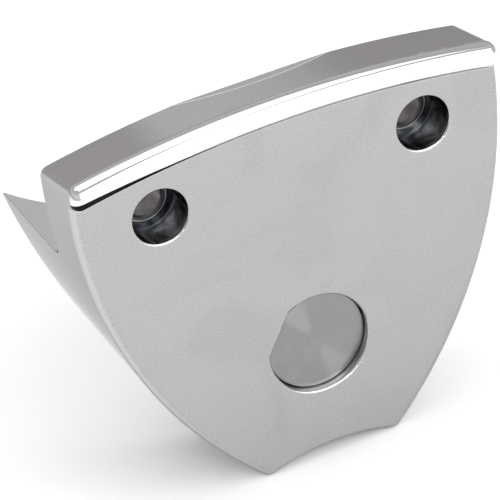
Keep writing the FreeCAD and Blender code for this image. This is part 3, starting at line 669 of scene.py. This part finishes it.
@dataclass(frozen=True)
class SleeveSteel:
    """Oiled steel of the screw sleeves, with a painted highlight along the outer rim's edge.
    """

    oiled: tuple = (0.175, 0.165, 0.160, 1.0)
    stained: tuple = (0.105, 0.100, 0.098, 1.0)
    # painted highlight: pale tone on the rim's edge, standing in for its bright edge
    # reflection
    painted_highlight: tuple = (0.780, 0.780, 0.790, 1.0)
    rim_from: float = 5.20 * MM
    rim_full: float = 5.32 * MM
    lip_at: float = -7.7 * MM
    lip_span: tuple = (0.4 * MM, 0.1 * MM)
    grain_scale: float = 2200.0
    smear_scale: float = 160.0
    grain_share: float = 0.4
    smear_share: float = 0.6
    rough: float = 0.24
    grain_rough: float = 0.15
    smear_rough: float = 0.10
    bump_depth: float = 0.006 * MM

    def build(self, effects: Effects) -> bpy.types.Material:
        """Make the material.

        Args:
            effects: The shared shader groups.

        Returns:
            The finished material.
        """
        material, graph, shader = new_material("finish_sleeve_steel")
        coords, (x, y, z) = graph.place()
        grain, smear = effects.skin(graph, coords, self.grain_scale, self.smear_scale)
        # painted highlight mask: the outer rim at the sleeve's front lip
        rim = graph.band(graph.screw_distance(x, z), self.rim_from, self.rim_full)
        lip = graph.band(y, *(self.lip_at + gap for gap in self.lip_span))
        rim_highlight_mask = graph.math("MULTIPLY", rim, lip)
        smeared = graph.math("MULTIPLY", smear, self.smear_share)
        dull = graph.math("MULTIPLY_ADD", grain, self.grain_share, smeared)
        tone = graph.blend(dull, self.oiled, self.stained)
        graph.feed(shader.inputs["Base Color"], graph.blend(rim_highlight_mask, tone, self.painted_highlight))
        shader.inputs["Metallic"].default_value = 1.0
        rough = graph.math("MULTIPLY_ADD", grain, self.grain_rough, self.rough)
        rough = graph.math("MULTIPLY_ADD", smear, self.smear_rough, rough)
        graph.feed(shader.inputs["Roughness"], rough)
        add_bump(graph, shader, grain, self.bump_depth)
        return material


@dataclass(frozen=True)
class MouldedRubber:
    """Matt black rubber with a fine moulded texture and a little dust."""

    black: tuple = (0.020, 0.020, 0.021, 1.0)
    dusty: tuple = (0.040, 0.039, 0.037, 1.0)
    grain_scale: float = 1500.0
    smear_scale: float = 110.0
    rough: float = 0.62
    grain_rough: float = 0.2
    bump_depth: float = 0.06 * MM

    def build(self, effects: Effects) -> bpy.types.Material:
        """Make the material.

        Args:
            effects: The shared shader groups.

        Returns:
            The finished material.
        """
        material, graph, shader = new_material("finish_moulded_rubber")
        coords, _ = graph.place()
        grain, smear = effects.skin(graph, coords, self.grain_scale, self.smear_scale)
        graph.feed(shader.inputs["Base Color"], graph.blend(smear, self.black, self.dusty))
        rough = graph.math("MULTIPLY_ADD", grain, self.grain_rough, self.rough)
        graph.feed(shader.inputs["Roughness"], rough)
        add_bump(graph, shader, grain, self.bump_depth)
        return material


@dataclass(frozen=True)
class PaleGround:
    """The plain pale floor."""

    tone: tuple = (0.93, 0.93, 0.93, 1.0)
    other: tuple = (0.90, 0.90, 0.902, 1.0)
    smear_scale: float = 3.0
    rough: float = 0.9
    gloss: float = 0.1

    def build(self, effects: Effects) -> bpy.types.Material:
        """Make the material.

        Args:
            effects: The shared shader groups.

        Returns:
            The finished material.
        """
        material, graph, shader = new_material("finish_pale_floor")
        coords, _ = graph.place()
        smear = graph.use(effects.smudge, Vector=coords, Scale=self.smear_scale)
        tone = graph.blend(smear.outputs["Smear"], self.tone, self.other)
        graph.feed(shader.inputs["Base Color"], tone)
        shader.inputs["Roughness"].default_value = self.rough
        shader.inputs["Specular IOR Level"].default_value = self.gloss
        return material


@dataclass
class Finishes:
    """Every finish, built once and put on the carried-over pieces."""

    effects: Effects

    def build(self) -> dict[Slot, bpy.types.Material]:
        """Build the materials.

        Returns:
            The material of each slot.
        """
        zinc = PlatedSteel(
            "finish_zinc_plate", (0.60, 0.61, 0.63, 1.0), (0.42, 0.43, 0.45, 1.0), 0.22
        )
        oiled = PlatedSteel(
            "finish_spring_steel", (0.17, 0.17, 0.18, 1.0), (0.09, 0.09, 0.10, 1.0), 0.30
        )
        return {
            Slot.POLISHED: PolishedPlating().build(self.effects),
            Slot.TURNED: TurnedFace().build(self.effects),
            Slot.PLATED: zinc.build(self.effects),
            Slot.SPRING: oiled.build(self.effects),
            Slot.RUBBER: MouldedRubber().build(self.effects),
        }

    def dress(self, materials: dict[Slot, bpy.types.Material]) -> None:
        """Put each CAD piece in its slot's material, and the sleeves in their own.

        Args:
            materials: The material of each slot.
        """
        sleeve_steel = SleeveSteel().build(self.effects)
        for part in frame["record"]["subparts"]:
            piece = frame["nodes"][part["node"]]
            finish = materials[Slot(part["material_slot"])]
            if part["node"] in SLEEVES:
                finish = sleeve_steel
            for holder in piece.material_slots:
                holder.material = finish
            log.info("%s wears %s", piece.name, finish.name)


@dataclass
class ThreadedStud:
    """The lamp stud: chamfered hexagon head, plain neck and rolled thread."""

    finish: bpy.types.Material
    thread_pitch: float = 1.5 * MM
    crest: float = 4.97 * MM
    root: float = 4.08 * MM
    neck: float = 5.0 * MM
    flat_out: float = 7.0 * MM
    head_thick: float = 6.4 * MM
    head_chamfer: float = 0.6 * MM
    thread_end: float = 6.5 * MM
    neck_overlap: float = 0.5 * MM
    lead: float = 0.9 * MM
    tip_rise: float = 0.1 * MM
    head_lead: float = 0.2 * MM
    flats: int = 6
    spare_turns: int = 2
    crest_to: float = 0.12
    root_from: float = 0.50
    root_to: float = 0.62
    turn_steps: int = 48
    head_steps: int = 96
    weld: float = 0.001 * MM
    smooth_below: float = math.radians(38.0)
    tip: float = field(init=False)
    end: float = field(init=False)
    corner: float = field(init=False)
    axis_up: float = field(init=False)

    def __post_init__(self) -> None:
        """Read the stud's place from the frame."""
        low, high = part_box("lamp_stud")
        self.tip = low.y
        self.end = high.y
        self.corner = (high.z - low.z) / 2
        self.axis_up = (high.z + low.z) / 2

    def spun(self, made: bmesh.types.BMesh, spots: list, steps: int, climb: float) -> None:
        """Spin a chain of (radius, depth) spots once about the stud's axis.

        Args:
            made: The mesh to build in.
            spots: Radius and depth of each point.
            steps: Steps in the turn.
            climb: How far the chain moves along the axis in the turn.
        """
        verts = [made.verts.new((radius, depth, 0.0)) for radius, depth in spots]
        edges = [made.edges.new(pair) for pair in zip(verts, verts[1:])]
        bmesh.ops.spin(
            made,
            geom=verts + edges,
            cent=(0, 0, 0),
            axis=(0, 1, 0),
            dvec=(0, climb / steps, 0),
            angle=FULL_TURN,
            steps=steps,
            use_merge=climb == 0,
            use_duplicate=False,
        )
        bmesh.ops.remove_doubles(made, verts=made.verts, dist=self.weld)

    def sliced(self, made: bmesh.types.BMesh, place: Vector, way: Vector) -> None:
        """Cut the mesh by a plane, drop what is beyond it and close the cut.

        Args:
            made: The mesh to cut.
            place: A point of the plane.
            way: The plane's normal, towards what goes.
        """
        geom = made.verts[:] + made.edges[:] + made.faces[:]
        cut = bmesh.ops.bisect_plane(
            made, geom=geom, dist=self.weld, plane_co=place, plane_no=way, clear_outer=True
        )
        rim = [item for item in cut["geom_cut"] if isinstance(item, bmesh.types.BMEdge)]
        bmesh.ops.holes_fill(made, edges=rim, sides=0)

    def head(self) -> bmesh.types.BMesh:
        """Turn the head and neck, then cut the flats.

        Returns:
            The closed mesh, on the stud's own axis.
        """
        made = bmesh.new()
        under = self.end - self.head_thick
        neck_end = self.thread_end - self.neck_overlap
        spots = [
            (0.0, self.end),
            (self.flat_out - self.head_lead, self.end),
            (self.corner, self.end - self.head_chamfer),
            (self.corner, under),
            (self.neck, under),
            (self.neck, neck_end),
            (0.0, neck_end),
        ]
        self.spun(made, spots, self.head_steps, 0.0)
        for side in range(self.flats):
            angle = side * FULL_TURN / self.flats
            way = Vector((math.cos(angle), 0.0, math.sin(angle)))
            self.sliced(made, way * self.flat_out, way)
        return made

    def thread(self) -> bmesh.types.BMesh:
        """Spin the thread's profile up its helix and cut both ends square.

        Returns:
            The closed mesh, on the stud's own axis.
        """
        made = bmesh.new()
        long = self.thread_end - self.tip
        turns = math.ceil(long / self.thread_pitch) + 2 * self.spare_turns
        first = self.tip - self.spare_turns * self.thread_pitch
        tooth = (
            (0.0, self.crest),
            (self.crest_to, self.crest),
            (self.root_from, self.root),
            (self.root_to, self.root),
        )
        spots = []
        for turn in range(turns):
            start = first + turn * self.thread_pitch
            for along, radius in tooth:
                spots.append((radius, start + along * self.thread_pitch))
        self.spun(made, spots, self.turn_steps, self.thread_pitch)
        self.sliced(made, Vector((0, self.tip, 0)), Vector((0, -1, 0)))
        self.sliced(made, Vector((0, self.thread_end, 0)), Vector((0, 1, 0)))
        for vert in made.verts:
            reach = math.hypot(vert.co.x, vert.co.z)
            most = self.root + self.tip_rise + (vert.co.y - self.tip)
            if vert.co.y < self.tip + self.lead and reach > most:
                vert.co.x *= most / reach
                vert.co.z *= most / reach
        return made

    def build(self) -> bpy.types.Object:
        """Join head and thread in one piece that stands for the CAD stud.

        Returns:
            The finished piece.
        """
        whole = bmesh.new()
        for made in (self.head(), self.thread()):
            bmesh.ops.recalc_face_normals(made, faces=made.faces)
            step = bpy.data.meshes.new("stud_step")
            made.to_mesh(step)
            made.free()
            whole.from_mesh(step)
            bpy.data.meshes.remove(step)
        bmesh.ops.translate(whole, verts=whole.verts, vec=(0, 0, self.axis_up))
        for face in whole.faces:
            face.smooth = True
        mesh = bpy.data.meshes.new("lamp_stud_threaded")
        whole.to_mesh(mesh)
        whole.free()
        mesh.set_sharp_from_angle(angle=self.smooth_below)
        mesh.materials.append(self.finish)
        piece = bpy.data.objects.new("lamp_stud_threaded", mesh)
        bpy.context.scene.collection.objects.link(piece)
        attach(piece, Body.BRACKET.value)
        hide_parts("lamp_stud")
        log.info("%s has %d faces", piece.name, len(mesh.polygons))
        return piece


@dataclass
class Studio:
    """Floor, soft light and camera."""

    effects: Effects
    floor_half: float = 6.0
    lens: float = 218.44
    sensor: float = 36.0
    nearest: float = 0.01
    eye: tuple = (-0.21109, -0.54545, 0.32496)
    right: tuple = (0.89606, -0.42305, -0.13454)
    up: tuple = (0.32649, 0.42268, 0.84543)
    back: tuple = (-0.30079, -0.80148, 0.51687)
    room_low: tuple = (0.42, 0.41, 0.41)
    room_top: tuple = (0.62, 0.62, 0.62)
    room_steps: tuple = ((0.20, 0.88), (0.42, 0.90), (0.62, 0.80))
    room_tint: tuple = (1.0, 0.99, 0.985)
    panel: tuple = (0.64, 0.61, 0.61)
    panel_top: tuple = (0.42, 0.30)
    left_panel: tuple = (0.24, 0.19)
    right_panel: tuple = (0.36, 0.41)
    lights: tuple = (
        ("front_light", (0.7, -1.7, 0.75), (2.6, 2.2), 47.0),
        ("top_light", (0.1, 0.1, 1.6), (2.0, 1.2), 11.0),
    )

    def floor(self) -> bpy.types.Object:
        """Lay the floor under the lowest point of the object.

        Returns:
            The floor's object.
        """
        mesh = bpy.data.meshes.new("floor")
        shape = bmesh.new()
        bmesh.ops.create_grid(shape, x_segments=2, y_segments=2, size=self.floor_half)
        bmesh.ops.translate(shape, verts=shape.verts, vec=(0, 0, cad_box[0].z))
        shape.to_mesh(mesh)
        shape.free()
        mesh.materials.append(PaleGround().build(self.effects))
        floor = bpy.data.objects.new("floor", mesh)
        bpy.context.scene.collection.objects.link(floor)
        return floor

    @staticmethod
    def softbox(name: str, place: tuple, size: tuple, power: float) -> None:
        """Hang a soft light aimed at the object.

        Args:
            name: The light's name.
            place: Where it hangs.
            size: Width and height of its panel.
            power: Its power in watts.
        """
        lamp = bpy.data.lights.new(name, "AREA")
        lamp.shape = "RECTANGLE"
        lamp.size, lamp.size_y = size
        lamp.energy = power
        holder = bpy.data.objects.new(name, lamp)
        holder.location = place
        aim = -Vector(place)
        holder.rotation_euler = aim.to_track_quat("-Z", "Y").to_euler()
        bpy.context.scene.collection.objects.link(holder)

    def sky(self) -> None:
        """Surround the scene with a pale room: light overhead, greyer panels low behind."""
        world = bpy.data.worlds.new("pale_room")
        world.use_nodes = True
        graph = Graph(world.node_tree)
        coords = graph.node("ShaderNodeTexCoord").outputs["Generated"]
        parts = graph.node("ShaderNodeSeparateXYZ")
        graph.feed(parts.inputs[0], coords)
        x, y, z = parts.outputs[0], parts.outputs[1], parts.outputs[2]
        ramp = graph.node("ShaderNodeValToRGB")
        graph.feed(ramp.inputs["Fac"], z)
        stops = ramp.color_ramp.elements
        stops[0].position = 0.0
        stops[0].color = (*self.room_low, 1.0)
        stops[1].position = 1.0
        stops[1].color = (*self.room_top, 1.0)
        for place, level in self.room_steps:
            stop = stops.new(place)
            stop.color = (*(level * part for part in self.room_tint), 1.0)
        turn = graph.math("ARCTAN2", x, y)
        low = graph.band(z, *self.panel_top)
        left = graph.band(turn, *self.left_panel)
        right = graph.band(turn, *self.right_panel)
        panels = graph.math("MULTIPLY", graph.math("MAXIMUM", left, right), low)
        tone = graph.blend(panels, ramp.outputs["Color"], (*self.panel, 1.0))
        light = graph.node("ShaderNodeBackground")
        graph.feed(light.inputs["Color"], tone)
        output = graph.node("ShaderNodeOutputWorld")
        graph.feed(output.inputs["Surface"], light.outputs["Background"])
        bpy.context.scene.world = world

    def camera(self) -> None:
        """Set the camera at the matching angle."""
        data = bpy.data.cameras.new("camera")
        data.lens = self.lens
        data.sensor_width = self.sensor
        data.clip_start = self.nearest
        camera = bpy.data.objects.new("camera", data)
        turn = Matrix((self.right, self.up, self.back)).transposed()
        camera.matrix_world = Matrix.Translation(self.eye) @ turn.to_4x4()
        bpy.context.scene.collection.objects.link(camera)
        bpy.context.scene.camera = camera

    def build(self) -> None:
        """Put the studio together."""
        self.floor()
        self.sky()
        for light in self.lights:
            self.softbox(*light)
        self.camera()
        bpy.context.scene.view_settings.view_transform = "Standard"


def main() -> None:
    """Build the finishes, the stud and the studio."""
    logging.basicConfig(level=logging.INFO, format="%(message)s")
    effects = Effects()
    finishes = Finishes(effects)
    materials = finishes.build()
    finishes.dress(materials)
    ThreadedStud(materials[Slot.PLATED]).build()
    Studio(effects).build()


if __name__ == "__main__":
    main()
